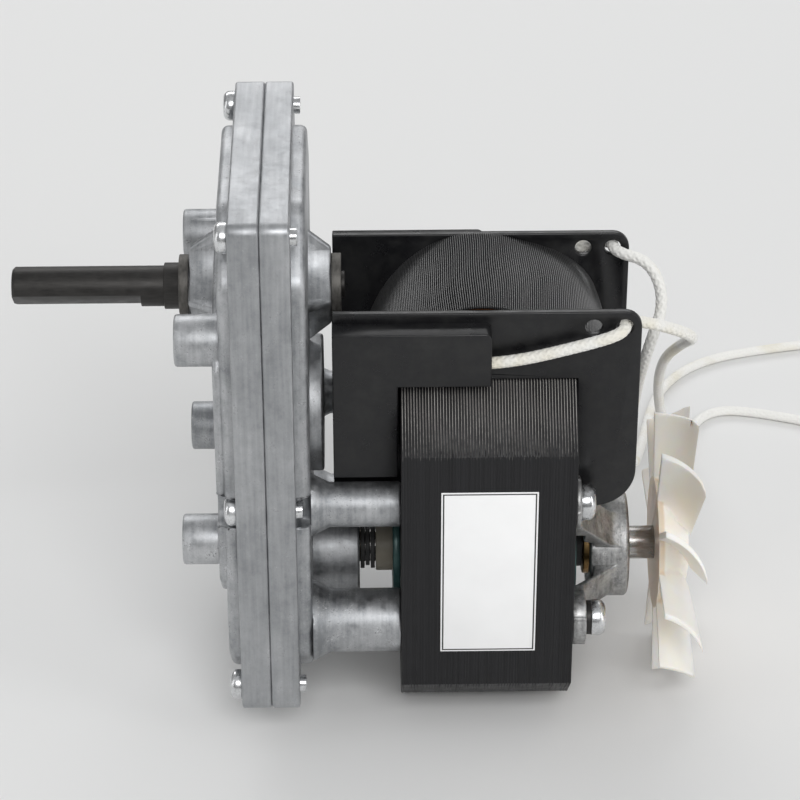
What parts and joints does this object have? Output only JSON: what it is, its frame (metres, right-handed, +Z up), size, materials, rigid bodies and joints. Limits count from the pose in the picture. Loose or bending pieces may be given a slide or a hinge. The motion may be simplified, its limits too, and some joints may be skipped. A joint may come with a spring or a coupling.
{
  "type": "geared motor",
  "caption": "Shaded-pole motor with a cooling fan, on a flat two-shell spur gearbox with a flatted output shaft and four mounting bosses.",
  "frame": {"origin": "centre of the four mounting bosses, in the plane of their end faces", "axes": "-X along the output shaft, out of the gearbox, so +X runs towards the fan. +Z is up, from the rotor shaft towards the output shaft. The near side in the picture is -Y."},
  "size_m": [0.1617, 0.1385, 0.1049],
  "materials": {
    "cast_housing": "die-cast, bare",
    "cast_bracket": "die-cast, bare",
    "plated_screw": "zinc plated",
    "dark_steel": "blackened",
    "bronze": "sintered, oiled",
    "steel": "turned and ground",
    "gear_steel": "hobbed, greased",
    "bare_lamination": "bare sheet edges",
    "green_lacquer": "lacquered casting",
    "beige_plastic": "moulded",
    "black_fibre": "stamped",
    "black_lamination": "painted sheet edges",
    "copper": "drawn rod",
    "black_plastic": "moulded",
    "copper_wire": "enamelled wire",
    "black_tape": "ribbed tape",
    "ivory_plastic": "moulded",
    "white_sticker": "smooth film",
    "white_sleeve": "braided sleeve"
  },
  "bodies": {
    "housing": {"front_housing": "cast_housing", "rear_housing": "cast_housing", "rear_bracket": "cast_bracket", "housing_screws": "plated_screw", "through_bolts": "plated_screw", "spring_washers": "dark_steel", "front_bush": "bronze", "rear_bush": "bronze", "front_bearing": "bronze", "rear_bearing": "bronze", "arbor_1": "steel", "arbor_2": "steel", "arbor_3": "steel", "stator_stack": "black_lamination", "coil_core": "black_lamination", "shading_rings": "copper", "bobbin": "black_plastic", "winding": "copper_wire", "coil_tape": "black_tape", "label": "white_sticker", "lead_near": "white_sleeve", "lead_far": "white_sleeve"},
    "rotor": {"rotor_shaft": "steel", "motor_pinion": "steel", "rotor_core": "bare_lamination", "rotor_end_rings": "green_lacquer", "rotor_spacer": "beige_plastic", "shim_washers": "black_fibre", "fan": "ivory_plastic"},
    "first_gear": {"gear_cluster_1": "gear_steel"},
    "second_gear": {"gear_cluster_2": "gear_steel"},
    "third_gear": {"gear_cluster_3": "gear_steel"},
    "output": {"output_shaft": "dark_steel", "output_gear": "gear_steel", "front_thrust_washer": "steel", "rear_thrust_washer": "steel"}
  },
  "joints": [
    {"name": "rotor_spin", "type": "hinge", "parent": "housing", "child": "rotor", "pos_m": [0.05, 0, -0.0343], "axis": [1, 0, 0], "continuous": true},
    {"name": "first_gear_spin", "type": "hinge", "parent": "housing", "child": "first_gear", "pos_m": [0.0186, -0.00697, -0.0217], "axis": [1, 0, 0], "continuous": true},
    {"name": "second_gear_spin", "type": "hinge", "parent": "housing", "child": "second_gear", "pos_m": [0.0142, 0.008, -0.01732], "axis": [1, 0, 0], "continuous": true},
    {"name": "third_gear_spin", "type": "hinge", "parent": "housing", "child": "third_gear", "pos_m": [0.0102, -0.0055, -0.00367], "axis": [1, 0, 0], "continuous": true},
    {"name": "output_spin", "type": "hinge", "parent": "housing", "child": "output", "pos_m": [0, 0, 0.02], "axis": [1, 0, 0], "continuous": true}
  ],
  "couplings": [
    {"joint": "first_gear_spin", "follows": "rotor_spin", "ratio": -0.26316},
    {"joint": "second_gear_spin", "follows": "rotor_spin", "ratio": 0.069252},
    {"joint": "third_gear_spin", "follows": "rotor_spin", "ratio": -0.018224},
    {"joint": "output_spin", "follows": "rotor_spin", "ratio": 0.0041419}
  ]
}
